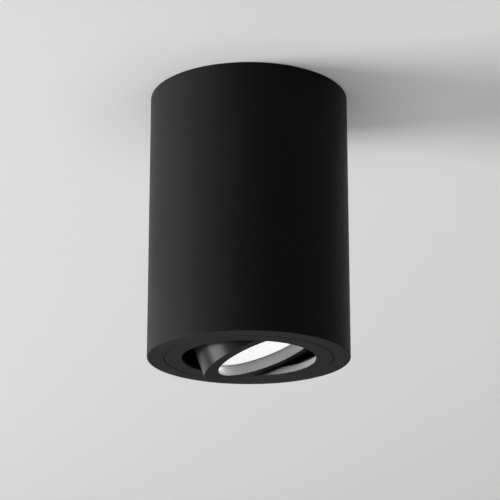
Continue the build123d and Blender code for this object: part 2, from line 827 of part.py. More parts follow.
with BuildPart() as driver_inductor:
    with BuildSketch(head_plane(driver_s - inductor_size[2] / 2)):
        with Locations((0, -driver_face - inductor_size[1] / 2)):
            RectangleRounded(inductor_size[0], inductor_size[1], inductor_size[1] / 6)
    extrude(amount=inductor_size[2])
save(driver_inductor, "driver_inductor")

# Insulating base with the two twist-lock pins
pin_places = [(0, -pin_spacing / 2), (0, pin_spacing / 2)]
with BuildPart() as lamp_base:
    with BuildSketch(head_section):
        with BuildLine():
            Polyline(
                (lamp_tail_r, lamp_tail_s),
                (base_end_d / 2, base_end_s),
                (0, base_end_s),
                (0, base_end_s - pin_root_l),
                (base_end_d / 2 - base_wall, base_end_s - pin_root_l),
                (lamp_tail_r - base_wall, lamp_tail_s),
                close=True,
            )
        make_face()
    revolve(axis=head_axis)
    with BuildSketch(head_plane(base_end_s)):
        with Locations(*pin_places):
            Circle(pin_neck_d / 2)
    extrude(amount=-pin_root_l, mode=Mode.SUBTRACT)
save(lamp_base, "lamp_base")

with BuildPart() as lamp_pins:
    with BuildSketch(head_plane(base_end_s - pin_root_l)):
        with Locations(*pin_places):
            Circle(pin_neck_d / 2)
    extrude(amount=pin_root_l + pin_neck_l)
    with BuildSketch(head_plane(base_end_s + pin_neck_l)):
        with Locations(*pin_places):
            Circle(pin_head_d / 2)
    extrude(amount=pin_head_l)
save(lamp_pins, "lamp_pins")

# ---------------------------------------------------------------------------------------------------------
# Lampholder on the lamp's pins
# ---------------------------------------------------------------------------------------------------------

holder_screw_places = [(0, -holder_screw_spacing / 2), (0, holder_screw_spacing / 2)]
chamber_s = holder_s + holder_front_t

# Ceramic body with two key slots, a chamber behind them and two screw holes
with BuildPart() as holder_body:
    with BuildSketch(head_plane(holder_s)):
        SlotOverall(holder_l, holder_w, rotation=90)
        with Locations(*holder_screw_places):
            Circle(holder_screw_d / 2 + thread_gap, mode=Mode.SUBTRACT)
    extrude(amount=holder_body_t)
    with BuildSketch(head_plane(chamber_s)):
        Circle(contact_chamber_d / 2)
    extrude(amount=holder_body_t, mode=Mode.SUBTRACT)
    with BuildSketch(head_plane(holder_s)):
        for pin_angle in (90, 270):
            with BuildLine():
                key_arc = CenterArc((0, 0), pin_spacing / 2, pin_angle - key_turn, key_turn)
            SlotArc(key_arc, pin_neck_d + 2 * key_slot_gap)
        with PolarLocations(pin_spacing / 2, 2, start_angle=90 - key_turn):
            Circle(pin_head_d / 2 + key_slot_gap)
    extrude(amount=holder_front_t, mode=Mode.SUBTRACT)
save(holder_body, "holder_body")

with BuildPart() as holder_cover:
    with BuildSketch(head_plane(holder_cover_s)):
        SlotOverall(holder_l, holder_w, rotation=90)
        with Locations(*holder_screw_places):
            Circle(holder_screw_d / 2 + thread_gap, mode=Mode.SUBTRACT)
        with GridLocations(0, lead_hole_spacing, 1, 2):
            Circle(lead_hole_d / 2, mode=Mode.SUBTRACT)
    extrude(amount=holder_cover_t)
save(holder_cover, "holder_cover")


def make_contact(name, side):
    """Brass strip that presses on a pin's head from outside and turns in under the cover."""
    strip_y = side * (pin_spacing / 2 + pin_head_d / 2 + run_gap + contact_t / 2)
    with BuildPart() as contact:
        with BuildSketch(head_plane(chamber_s + tip_gap)):
            with Locations((0, strip_y)):
                Rectangle(contact_w, contact_t)
        extrude(amount=holder_cover_s - chamber_s - tip_gap)
        with BuildSketch(head_plane(holder_cover_s)):
            with Locations((0, strip_y - side * (contact_foot - contact_t) / 2)):
                Rectangle(contact_w, contact_foot)
        extrude(amount=-contact_t)
    save(contact, name)


make_contact("holder_contact_left", -1)
make_contact("holder_contact_right", 1)

with BuildPart() as holder_screws:
    with BuildSketch(head_plane(holder_back_s)):
        with Locations(*holder_screw_places):
            Circle(holder_head_d / 2)
    extrude(amount=holder_head_h)
    with BuildSketch(head_plane(holder_back_s)):
        with Locations(*holder_screw_places):
            Circle(holder_screw_d / 2)
    extrude(amount=tip_gap - holder_body_t - holder_cover_t)
save(holder_screws, "holder_screws")
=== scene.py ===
"""Looks of the surface mounted ceiling spotlight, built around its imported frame.

The ceiling is the plane z = 0 and the lamp hangs below it. Sizes are millimetres until a mesh is put in place.
"""

import json
from math import cos, pi, radians, sin, tan

import bmesh
import bpy
from mathutils import Matrix, Vector

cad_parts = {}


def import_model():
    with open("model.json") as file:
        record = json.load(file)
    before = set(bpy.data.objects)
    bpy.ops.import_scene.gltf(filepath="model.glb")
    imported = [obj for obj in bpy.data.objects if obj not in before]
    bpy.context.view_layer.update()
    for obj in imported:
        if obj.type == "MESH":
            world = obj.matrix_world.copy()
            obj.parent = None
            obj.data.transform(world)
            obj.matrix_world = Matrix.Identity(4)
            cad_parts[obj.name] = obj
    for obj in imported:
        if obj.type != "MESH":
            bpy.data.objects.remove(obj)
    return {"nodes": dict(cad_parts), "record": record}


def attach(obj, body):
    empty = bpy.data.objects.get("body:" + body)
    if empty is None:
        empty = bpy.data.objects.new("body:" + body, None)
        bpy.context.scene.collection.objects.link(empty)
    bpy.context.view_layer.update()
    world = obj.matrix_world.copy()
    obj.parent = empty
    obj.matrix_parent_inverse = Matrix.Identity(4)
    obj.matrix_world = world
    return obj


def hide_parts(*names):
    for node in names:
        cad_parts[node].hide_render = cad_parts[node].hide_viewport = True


MM = 0.001
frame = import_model()
nodes = frame["nodes"]
body_of = {node: body for body, members in frame["record"]["behaviour"]["bodies"].items() for node in members}
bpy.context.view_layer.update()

# ---------------------------------------------------------------------------------------------------------
# Sizes, as in the part
# ---------------------------------------------------------------------------------------------------------

BODY_R, BODY_H, WALL_T, BODY_BEVEL = 44.0, 120.0, 2.2, 0.35
INNER_R = BODY_R - WALL_T
PIVOT_Z, TILT = -98.7, radians(20)
RING_BACK_Z, RING_MOUTH_R, RING_FLARE_R, RING_R, MOUTH_LAND = -116.7, 28.95, 30.01, 36.38, 1.5
LEDGE_R, SEAT_R, LEDGE_Z, LEDGE_TOP_Z, LEDGE_RAMP = 35.28, 36.78, -116.5, -113.5, 2.0
PAD_X, PAD_W, PAD_T, SIDE_SCREW_Z, SIDE_HOLE_R = 39.4, 12.0, 2.4, -10.0, 2.05
PLATE_T, DISH_DEPTH, GROMMET_HOLE_R, GROMMET_R, GROMMET_BORE_R = 1.5, 2.6, 6.5, 9.0, 4.0
STRIP_X, POLE_PITCH, STRIP_H, CLAMP_Z, CLAMP_SPACING = 24.65, 11.0, 13.0, 5.6, 8.4
SET_SCREW_TIP_X, SET_SCREW_R, SET_SCREW_CONE, SET_SCREW_L = 37.3, 2.0, 1.8, 6.4
SOCKET_R, SOCKET_DEPTH = 1.155, 2.0

# Distances along the head's axis from the tilt axis, positive towards the lamp's back
CUP_R, CUP_BORE_R, CUP_MOUTH_R = 28.0, 25.5, 21.45
FACE_S, SHOULDER_S, CUP_BACK_S = -20.9, -15.9, 8.6
CLIP_S, CLIP_WIRE_D = -11.0, 1.8
BOSS_R, BOSS_Y, PIVOT_HOLE_R = 4.5, 28.3, 1.55
EAR_OUT_Y = 30.35
CLIP_GROOVE_R = 26.15
LENS_R, LENS_T = 22.3, 1.8
LAMP_R, RIM_BACK_S, NECK_R, TAIL_R, TAIL_S, LAMP_WALL = 25.0, -11.9, 22.6, 14.2, 21.1, 1.6
FLOOR_FRONT_S, FLOOR_BACK_S, CHAMBER_R = -8.5, -6.3, 21.0
RIBS, FLUTE_DEPTH = 30, 0.9
BOARD_T, CHIP_SIZE, CHIP_CIRCLE_R, CHIP_COUNT = 1.2, (3.5, 2.8, 0.8), 11.0, 6
BASE_END_R, BASE_END_S, BASE_WALL, PIN_Y, PIN_ROOT = 11.5, 33.1, 1.8, 5.0, 4.0
HOLDER_BACK_S, HOLDER_SCREW_Y = 48.2, 12.6

HEAD = Matrix(((cos(TILT), 0, -sin(TILT), 0), (0, 1, 0, 0), (sin(TILT), 0, cos(TILT), PIVOT_Z), (0, 0, 0, 1)))
HEAD_BACK = HEAD.to_3x3() @ Vector((0, 0, 1))

# Small screws on the ring's back, and the sheets that they hold
TAP_R, TAP_DEPTH, TIP_GAP, SMALL_HEAD_R, SMALL_HEAD_H, SMALL_SHANK_R = 1.05, 2.2, 0.2, 1.5, 0.9, 1.0
BRACKET_T, SPRING_T, SPRING_SCREW_R = 1.5, 0.4, 32.63
BRACKET_SCREWS = [(x * 6.3, y * (EAR_OUT_Y + 1.8)) for x in (-1, 1) for y in (-1, 1)]
SPRING_SCREWS = [(SPRING_SCREW_R * cos(radians(a)), SPRING_SCREW_R * sin(radians(a))) for a in (66, 114, 246, 294)]


# ---------------------------------------------------------------------------------------------------------
# Node trees
# ---------------------------------------------------------------------------------------------------------


class Wire:
    """An output socket. Adding to it or multiplying it adds Math nodes to its tree."""

    def __init__(self, graph, socket):
        self.graph, self.socket = graph, socket

    def __add__(self, other):
        return self.graph.maths("ADD", self, other)

    def __mul__(self, other):
        return self.graph.maths("MULTIPLY", self, other)

    __radd__ = __add__
    __rmul__ = __mul__


class Graph:
    """A node tree that is built by naming each node's settings and inputs."""

    def __init__(self, tree):
        self.tree = tree

    def node(self, kind, settings=None, inputs=None, output=0):
        """Add a node and return one of its outputs. Settings are set before inputs are linked."""
        node = self.tree.nodes.new(kind)
        for name, value in (settings or {}).items():
            setattr(node, name, value)
        for name, value in (inputs or {}).items():
            self.feed(node.inputs[name], value)
        return Wire(self, node.outputs[output]) if node.outputs else None

    def feed(self, socket, value):
        """Link a wire to a socket, or set the socket to a plain value."""
        if isinstance(value, Wire):
            self.tree.links.new(value.socket, socket)
        else:
            socket.default_value = value

    def maths(self, operation, first, second):
        return self.node("ShaderNodeMath", {"operation": operation}, {0: first, 1: second})


class Finish(Graph):
    """A material with one Principled shader. Patterns read the piece's own place."""

    def __init__(self, name, colour, roughness, metallic=0.0, **constants):
        self.material = bpy.data.materials.new(name)
        self.material.use_nodes = True
        super().__init__(self.material.node_tree)
        self.tree.nodes.clear()
        shader = self.node("ShaderNodeBsdfPrincipled")
        self.sockets = shader.socket.node.inputs
        self.node("ShaderNodeOutputMaterial", None, {"Surface": shader})
        self.place = self.node("ShaderNodeTexCoord", output="Object")
        self.set(**{"Base Color": (*colour, 1), "Roughness": roughness, "Metallic": metallic})
        self.set(**{name.replace("_", " ").title().replace("Ior", "IOR"): value for name, value in constants.items()})

    def set(self, **values):
        for name, value in values.items():
            self.feed(self.sockets[name], value)

    def stretched(self, scale):
        """The piece's place, scaled by its own amount along each axis."""
        return self.node("ShaderNodeMapping", None, {"Vector": self.place, "Scale": scale})

    def noise(self, scale, detail=2.0, rough=0.5, place=None):
        inputs = {"Vector": place or self.place, "Scale": scale, "Detail": detail, "Roughness": rough}
        return self.node("ShaderNodeTexNoise", None, inputs)

    def cells(self, scale, place=None):
        inputs = {"Vector": place or self.place, "Scale": scale}
        return self.node("ShaderNodeTexVoronoi", None, inputs, "Distance")

    def between(self, value, low, high, to_low=0.0, to_high=1.0):
        """A smooth step from to_low to to_high as the value goes from low to high."""
        inputs = {"Value": value, "From Min": low, "From Max": high, "To Min": to_low, "To Max": to_high}
        return self.node("ShaderNodeMapRange", {"interpolation_type": "SMOOTHSTEP"}, inputs)

    def mixed(self, share, first, second):
        """A colour between two others."""
        colours = [(*c, 1) if isinstance(c, tuple) else c for c in (first, second)]
        return self.node("ShaderNodeMix", {"data_type": "RGBA"}, {0: share, 6: colours[0], 7: colours[1]}, 2)

    def relief(self, height, depth, below=None):
        """A bump of this depth in metres, on top of another one."""
        inputs = {"Height": height, "Distance": depth}
        if below:
            inputs["Normal"] = below
        return self.node("ShaderNodeBump", None, inputs)


# ---------------------------------------------------------------------------------------------------------
# Finishes
# ---------------------------------------------------------------------------------------------------------


def powder_coat():
    """Matt black powder coat: fine grains in a slightly uneven film."""
    finish = Finish("black_powder_coat", (0.0250, 0.0250, 0.0254), 0.52, specular_ior_level=0.06)
    grain = finish.noise(1500, 3, 0.6)
    film = finish.noise(420, 2)
    cloud = finish.noise(28, 3)
    tone = finish.between(grain + cloud * 0.4, 0.45, 0.95)
    finish.set(**{"Base Color": finish.mixed(tone, (0.0215, 0.0215, 0.0219), (0.0310, 0.0310, 0.0315))})
    finish.set(Roughness=finish.between(grain + film * 0.5, 0.5, 1.0, 0.46, 0.58))
    finish.set(Normal=finish.relief(grain, 0.00005, finish.relief(film, 0.00008)))
    return finish


def satin_enamel():
    """Smoother black stoved enamel on the lamp cup."""
    finish = Finish("black_satin_enamel", (0.0143, 0.0143, 0.0147), 0.30, specular_ior_level=0.12)
    peel = finish.noise(900, 2)
    cloud = finish.noise(60, 2)
    finish.set(Roughness=finish.between(peel * 0.4 + cloud, 0.4, 1.0, 0.26, 0.34))
    finish.set(**{"Base Color": finish.mixed(cloud, (0.0130, 0.0130, 0.0133), (0.0156, 0.0156, 0.0160))})
    finish.set(Normal=finish.relief(peel, 0.00001))
    return finish


def plated_steel(name, colour, tint, roughness):
    """Plated or rolled sheet: cloudy tint, fine rolling lines and a few scuffs."""
    finish = Finish(name, colour, roughness, 1.0)
    cloud = finish.noise(420, 4, 0.6)
    lines = finish.noise(90, 3, 0.6, finish.stretched((1, 40, 40)))
    scuff = finish.between(finish.noise(700, 5, 0.7), 0.60, 0.72)
    wear = finish.between(cloud * 0.5 + lines * 0.5, 0.3, 0.7, roughness - 0.04, roughness + 0.06)
    finish.set(**{"Base Color": finish.mixed(finish.between(cloud, 0.3, 0.75), colour, tint)})
    finish.set(Roughness=wear + scuff * 0.06)
    finish.set(Normal=finish.relief(lines, 0.00001))
    return finish


def warm_metal(name, colour, tarnish, roughness):
    """Bare brass or tinned copper with a little tarnish."""
    finish = Finish(name, colour, roughness, 1.0)
    spots = finish.noise(260, 4, 0.65)
    drawn = finish.noise(60, 3, 0.5, finish.stretched((1, 40, 40)))
    finish.set(**{"Base Color": finish.mixed(finish.between(spots, 0.45, 0.75), colour, tarnish)})
    finish.set(Roughness=finish.between(spots, 0.3, 0.7, roughness - 0.06, roughness + 0.1))
    finish.set(Normal=finish.relief(drawn, 0.000015))
    return finish


def moulding(name, light, dark, roughness, grain=1500, depth=0.00002, **constants):
    """Moulded plastic, rubber or ceramic: an even colour with slight flow marks and a fine skin."""
    finish = Finish(name, light, roughness, **constants)
    flow = finish.noise(70, 3)
    skin = finish.noise(grain, 2)
    finish.set(**{"Base Color": finish.mixed(finish.between(flow, 0.3, 0.7), light, dark)})
    finish.set(Roughness=finish.between(flow * 0.5 + skin * 0.5, 0.35, 0.65, roughness - 0.05, roughness + 0.05))
    finish.set(Normal=finish.relief(skin, depth))
    return finish


def opal():
    """Lit opal lens: even white light with faint cooler patches."""
    finish = Finish("opal_lens", (0.8, 0.8, 0.8), 0.35, emission_strength=0.6)
    haze = finish.between(finish.noise(90, 2), 0.3, 0.7)
    finish.set(**{"Emission Color": finish.mixed(haze, (0.96, 0.96, 0.98), (1.0, 1.0, 1.0))})
    return finish


def circuit_board(name, board, copper, roughness):
    """Lacquered board with copper tracks just visible under the lacquer."""
    finish = Finish(name, board, roughness)
    track = finish.between(finish.cells(420, finish.stretched((1, 0.35, 1))), 0.28, 0.34)
    finish.set(**{"Base Color": finish.mixed(track, board, copper)})
    finish.set(Roughness=finish.between(finish.noise(500), 0.3, 0.7, roughness - 0.05, roughness + 0.05))
    finish.set(Normal=finish.relief(track, 0.00003))
    return finish


def phosphor():
    """Yellow phosphor of the light source."""
    finish = Finish("led_phosphor", (0.85, 0.62, 0.12), 0.45)
    grain = finish.noise(4000, 2)
    finish.set(**{"Base Color": finish.mixed(grain, (0.80, 0.56, 0.09), (0.92, 0.70, 0.18))})
    finish.set(**{"Emission Color": (1.0, 0.86, 0.55, 1), "Emission Strength": 0.6})
    return finish


GLAZE = {"coat_weight": 0.6, "coat_roughness": 0.08}


def make_finishes():
    """Every finish of the record's material slots, by slot."""
    made = [
        powder_coat(),
        satin_enamel(),
        plated_steel("zinc_plated_steel", (0.61, 0.63, 0.65), (0.66, 0.66, 0.64), 0.36),
        plated_steel("black_oxide_steel", (0.045, 0.045, 0.05), (0.075, 0.07, 0.068), 0.38),
        plated_steel("spring_steel", (0.36, 0.36, 0.37), (0.46, 0.44, 0.41), 0.28),
        warm_metal("brass", (0.78, 0.56, 0.26), (0.52, 0.34, 0.15), 0.30),
        warm_metal("tinned_copper", (0.74, 0.72, 0.68), (0.60, 0.52, 0.44), 0.33),
        moulding("black_rubber", (0.020, 0.020, 0.020), (0.032, 0.031, 0.030), 0.68, 900, 0.00006),
        moulding("white_polyamide", (0.80, 0.79, 0.75), (0.74, 0.73, 0.68), 0.42),
        moulding("black_nylon", (0.022, 0.022, 0.023), (0.030, 0.030, 0.031), 0.46),
        opal(),
        moulding("white_lamp_body", (0.83, 0.83, 0.81), (0.78, 0.78, 0.76), 0.48),
        circuit_board("white_circuit_board", (0.80, 0.80, 0.77), (0.70, 0.66, 0.56), 0.40),
        phosphor(),
        circuit_board("green_circuit_board", (0.012, 0.115, 0.040), (0.030, 0.190, 0.060), 0.32),
        moulding("capacitor_sleeve", (0.015, 0.020, 0.055), (0.022, 0.028, 0.070), 0.35),
        moulding("ferrite", (0.050, 0.049, 0.050), (0.072, 0.070, 0.068), 0.62, 700, 0.00008),
        moulding("glazed_ceramic", (0.82, 0.80, 0.74), (0.76, 0.73, 0.66), 0.30, 300, 0.00003, **GLAZE),
    ]
    return {finish.material.name: finish.material for finish in made}


for material in list(bpy.data.materials):
    material.name = "packed_" + material.name
finishes = make_finishes()

# ---------------------------------------------------------------------------------------------------------
# Making pieces
# ---------------------------------------------------------------------------------------------------------


def object_of(name, mesh):
    thing = bpy.data.objects.new(name, mesh)
    bpy.context.scene.collection.objects.link(thing)
    return thing


def baked(thing):
    """The thing's mesh with its modifiers applied, as a new mesh, and the thing removed."""
    graph = bpy.context.evaluated_depsgraph_get()
    mesh = bpy.data.meshes.new_from_object(thing.evaluated_get(graph), depsgraph=graph)
    bpy.data.objects.remove(thing)
    return mesh


def rounded(corners, steps=5):
    """Points of a closed outline whose corners (x, y, radius) are rounded where the radius is over 0."""
    points = []
    for i, (x, y, radius) in enumerate(corners):
        here = Vector((x, y))
        if radius <= 0:
            points.append(here)
            continue
        back = (Vector(corners[i - 1][:2]) - here).normalized()
        on = (Vector(corners[(i + 1) % len(corners)][:2]) - here).normalized()
        half = back.angle(on) / 2
        middle = here + (back + on).normalized() * (radius / sin(half))
        first, last = here + back * radius / tan(half) - middle, here + on * radius / tan(half) - middle
        sweep = first.angle_signed(last)
        for step in range(steps + 1):
            turn = -sweep * step / steps
            points.append(middle + Matrix.Rotation(turn, 2) @ first)
    return points


def add_input(tree, name, kind, value=None):
    socket = tree.interface.new_socket(name=name, in_out="INPUT", socket_type="NodeSocket" + kind)
    if value is not None:
        socket.default_value = value
    return socket.identifier


def lathe_tree():
    """Geometry nodes that turn an outline of edges about the Z axis. Its fluted points get hollows between ribs."""
    tree = bpy.data.node_groups.new("Turned on a lathe", "GeometryNodeTree")
    add_input(tree, "Outline", "Geometry")
    add_input(tree, "Steps around", "Int", 192)
    add_input(tree, "Ribs", "Float", 1.0)
    add_input(tree, "Flute depth", "Float", 0.0)
    add_input(tree, "Finish", "Material")
    tree.interface.new_socket(name="Piece", in_out="OUTPUT", socket_type="NodeSocketGeometry")
    graph = Graph(tree)
    entry = graph.node("NodeGroupInput").socket.node.outputs
    names = ("Outline", "Steps around", "Ribs", "Flute depth", "Finish")
    outline, steps, ribs, depth, finish = (Wire(graph, entry[name]) for name in names)
    outline = graph.node("GeometryNodeMeshToCurve", None, {"Mesh": outline})
    circle = graph.node("GeometryNodeCurvePrimitiveCircle", None, {"Resolution": steps, "Radius": LATHE_R})
    turned = graph.node("GeometryNodeCurveToMesh", None, {"Curve": circle, "Profile Curve": outline})
    place = graph.node("GeometryNodeInputPosition")
    x, y = (graph.node("ShaderNodeSeparateXYZ", None, {"Vector": place}, axis) for axis in ("X", "Y"))
    turn = graph.maths("ARCTAN2", y, x) * (ribs * (1 / (2 * pi)))
    wave = graph.maths("PINGPONG", turn + 1000.0, 0.5) * 2.0
    inputs = {"Value": wave, "From Min": 0.3, "From Max": 0.7, "To Min": 0.0, "To Max": depth}
    sunk = graph.node("ShaderNodeMapRange", {"interpolation_type": "SMOOTHSTEP"}, inputs)
    share = graph.node("GeometryNodeInputNamedAttribute", {"data_type": "FLOAT"}, {"Name": "fluted"})
    out = graph.node("ShaderNodeVectorMath", {"operation": "MULTIPLY"}, {0: place, 1: (1, 1, 0)})
    out = graph.node("ShaderNodeVectorMath", {"operation": "NORMALIZE"}, {0: out})
    step = graph.node("ShaderNodeVectorMath", {"operation": "SCALE"}, {0: out, "Scale": sunk * share * -1.0})
    turned = graph.node("GeometryNodeSetPosition", None, {"Geometry": turned, "Offset": step})
    turned = graph.node("GeometryNodeMergeByDistance", None, {"Geometry": turned, "Distance": WELD})
    turned = graph.node("GeometryNodeRealizeInstances", None, {"Geometry": turned})
    turned = graph.node("GeometryNodeSetMaterial", None, {"Geometry": turned, "Material": finish})
    graph.node("NodeGroupOutput", None, {"Piece": turned})
    return tree


def repeat_tree():
    """Geometry nodes that set a pattern piece on every point, turned so that its Z follows the point's aim."""
    tree = bpy.data.node_groups.new("Repeated on points", "GeometryNodeTree")
    add_input(tree, "Places", "Geometry")
    add_input(tree, "Pattern", "Object")
    add_input(tree, "Size", "Float", 1.0)
    add_input(tree, "Finish", "Material")
    tree.interface.new_socket(name="Pieces", in_out="OUTPUT", socket_type="NodeSocketGeometry")
    graph = Graph(tree)
    entry = graph.node("NodeGroupInput").socket.node.outputs
    places, pattern, size, finish = (Wire(graph, entry[name]) for name in ("Places", "Pattern", "Size", "Finish"))
    shape = graph.node("GeometryNodeObjectInfo", None, {"Object": pattern}, "Geometry")
    aim = graph.node("GeometryNodeInputNamedAttribute", {"data_type": "FLOAT_VECTOR"}, {"Name": "aim"})
    spin = graph.node("GeometryNodeInputNamedAttribute", {"data_type": "FLOAT"}, {"Name": "spin"})
    turn = graph.node("FunctionNodeAlignRotationToVector", {"axis": "Z"}, {"Vector": aim})
    own = graph.node("FunctionNodeAxisAngleToRotation", None, {"Axis": (0, 0, 1), "Angle": spin})
    turn = graph.node("FunctionNodeRotateRotation", {"rotation_space": "LOCAL"}, {"Rotation": turn, "Rotate By": own})
    inputs = {"Points": places, "Instance": shape, "Rotation": turn, "Scale": size}
    pieces = graph.node("GeometryNodeInstanceOnPoints", None, inputs)
    pieces = graph.node("GeometryNodeRealizeInstances", None, {"Geometry": pieces})
    pieces = graph.node("GeometryNodeSetMaterial", None, {"Geometry": pieces, "Material": finish})
    graph.node("NodeGroupOutput", None, {"Pieces": pieces})
    return tree


LATHE_R = 100.0  # radius of the lathe's circle, on which an outline's r = 0 lies at its middle
WELD, POLE_R = 1e-4, 0.01  # points this close, and points this near the axis, are one
LATHE = lathe_tree()
REPEAT = repeat_tree()


def through(tree, thing, values):
    """Run a tree on a thing and return the result as a plain mesh. Values are named as the tree's inputs."""
    modifier = thing.modifiers.new("Tree", "NODES")
    modifier.node_group = tree
    sockets = {item.name: item.identifier for item in tree.interface.items_tree if item.in_out == "INPUT"}
    for name, value in values.items():
        modifier[sockets[name]] = value
    return baked(thing)


def facing_out(mesh):
    """Close the poles and make every face point outwards."""
    work = bmesh.new()
    work.from_mesh(mesh)
    bmesh.ops.remove_doubles(work, verts=work.verts, dist=WELD)
    at_pole = [v for v in work.verts if v.co.xy.length < POLE_R]
    bmesh.ops.remove_doubles(work, verts=at_pole, dist=2 * POLE_R)
    bmesh.ops.dissolve_degenerate(work, edges=work.edges, dist=WELD / 10)
    bmesh.ops.recalc_face_normals(work, faces=work.faces)
    work.to_mesh(mesh)
    work.free()
    return mesh


def turned(outline, node, steps=192, fluted=None, ribs=1.0, depth=0.0):
    """A mesh in millimetres turned about Z from an outline of points (r, z), with the node's finish.

    The list fluted gives each point's share of the depth between ribs.
    """
    mesh = bpy.data.meshes.new("outline")
    count = len(outline)
    points = [(r - LATHE_R, -z, 0) for r, z in outline]
    edges = [(i, (i + 1) % count) for i in range(count)]
    mesh.from_pydata(points, [(i, j) for i, j in edges if max(outline[i][0], outline[j][0]) > 0], [])
    shares = mesh.attributes.new("fluted", "FLOAT", "POINT")
    for i, share in enumerate(fluted or []):
        shares.data[i].value = share
    values = {"Steps around": steps, "Ribs": ribs, "Flute depth": depth, "Finish": finish_of(node)}
    return facing_out(through(LATHE, object_of("outline", mesh), values))


def moved(mesh, matrix):
    mesh.transform(matrix)
    return mesh


def peg(radius, length, steps=48):
    """A plain round cutter along Z from 0, for holes."""
    work = bmesh.new()
    ends = {"cap_ends": True, "segments": steps, "radius1": radius, "radius2": radius, "depth": length}
    bmesh.ops.create_cone(work, **ends, matrix=Matrix.Translation((0, 0, length / 2)))
    mesh = bpy.data.meshes.new("peg")
    work.to_mesh(mesh)
    work.free()
    return mesh


def combined(mesh, others, operation):
    """Join or cut a mesh with others, exactly."""
    thing = object_of("work", mesh)
    helpers = [object_of("helper", other) for other in others]
    for helper in helpers:
        modifier = thing.modifiers.new("Cut", "BOOLEAN")
        modifier.operation, modifier.object, modifier.solver = operation, helper, "EXACT"
    result = baked(thing)
    for helper in helpers:
        bpy.data.objects.remove(helper)
    return result


def slot_of(node):
    """The record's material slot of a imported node."""
    return nodes[node].material_slots[0].material.name.removeprefix("packed_")


def finish_of(node):
    return finishes[slot_of(node)]


def piece(name, mesh, node, bevel=0.0, crease=30):
    """Put a finished mesh in millimetres in place as the piece that stands for a node."""
    mesh.transform(Matrix.Scale(MM, 4))
    mesh.materials.clear()
    mesh.materials.append(finish_of(node))
    for polygon in mesh.polygons:
        polygon.use_smooth, polygon.material_index = True, 0
    mesh.set_sharp_from_angle(angle=radians(crease))
    thing = object_of(name, mesh)
    if bevel:
        softer = thing.modifiers.new("Broken edges", "BEVEL")
        softer.width, softer.segments, softer.limit_method, softer.angle_limit = bevel * MM, 2, "ANGLE", radians(crease)
        softer.use_clamp_overlap, softer.harden_normals, softer.miter_outer = True, False, "MITER_ARC"
    normals = thing.modifiers.new("Even normals", "WEIGHTED_NORMAL")
    normals.keep_sharp, normals.weight = True, 60
    mesh = baked(thing)
    mesh.name = name
    thing = object_of(name, mesh)
    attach(thing, body_of[node])
    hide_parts(node)
    return thing


def softened(name, node, bevel, crease=34):
    """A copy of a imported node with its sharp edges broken."""
    work = bmesh.new()
    work.from_mesh(nodes[node].data)
    bmesh.ops.remove_doubles(work, verts=work.verts, dist=2e-6)
    bmesh.ops.dissolve_limit(work, angle_limit=radians(0.4), verts=work.verts, edges=work.edges, delimit=set())
    work.verts.index_update()
    mesh = bpy.data.meshes.new(name)
    mesh.from_pydata([v.co / MM for v in work.verts], [], [[v.index for v in face.verts] for face in work.faces])
    work.free()
    return piece(name, mesh, node, bevel, crease)


def places_mesh(places):
    """Points with an aim and a spin each: (point, aim, spin)."""
    mesh = bpy.data.meshes.new("places")
    mesh.from_pydata([point for point, _, _ in places], [], [])
    mesh.attributes.new("aim", "FLOAT_VECTOR", "POINT")
    mesh.attributes.new("spin", "FLOAT", "POINT")
    for i, (_, aim, spin) in enumerate(places):
        mesh.attributes["aim"].data[i].vector = aim
        mesh.attributes["spin"].data[i].value = spin
    return mesh


def repeated(name, pattern, places, node, bevel=0.0):
    """A piece made of a pattern at every place."""
    shape = object_of("pattern", pattern)
    mesh = through(REPEAT, object_of("places", places_mesh(places)), {"Pattern": shape, "Finish": finish_of(node)})
    bpy.data.objects.remove(shape)
    return piece(name, mesh, node, bevel)


def rounded_block(width, depth, height, radius, steps=8):
    """A block on z = 0 whose upright edges are rounded."""
    corners = [(-width / 2, -depth / 2, radius), (width / 2, -depth / 2, radius)]
    corners += [(width / 2, depth / 2, radius), (-width / 2, depth / 2, radius)]
    work = bmesh.new()
    face = work.faces.new([work.verts.new((x, y, 0)) for x, y in rounded(corners, steps)])
    top = bmesh.ops.extrude_face_region(work, geom=[face])["geom"]
    bmesh.ops.translate(work, verts=[v for v in top if isinstance(v, bmesh.types.BMVert)], vec=(0, 0, height))
    bmesh.ops.recalc_face_normals(work, faces=work.faces)
    mesh = bpy.data.meshes.new("block")
    work.to_mesh(mesh)
    work.free()
    return mesh


def threaded(radius, start, end, pitch):
    """Outline points of a thread's ridges from one z to another."""
    count = max(1, int(abs(end - start) / pitch))
    step, points = (end - start) / count, []
    for i in range(count):
        low = start + i * step
        points += [(radius - 0.3 * pitch, low, 0), (radius, low + 0.4 * step, 0), (radius, low + 0.6 * step, 0)]
    return points + [(radius - 0.3 * pitch, end, 0)]


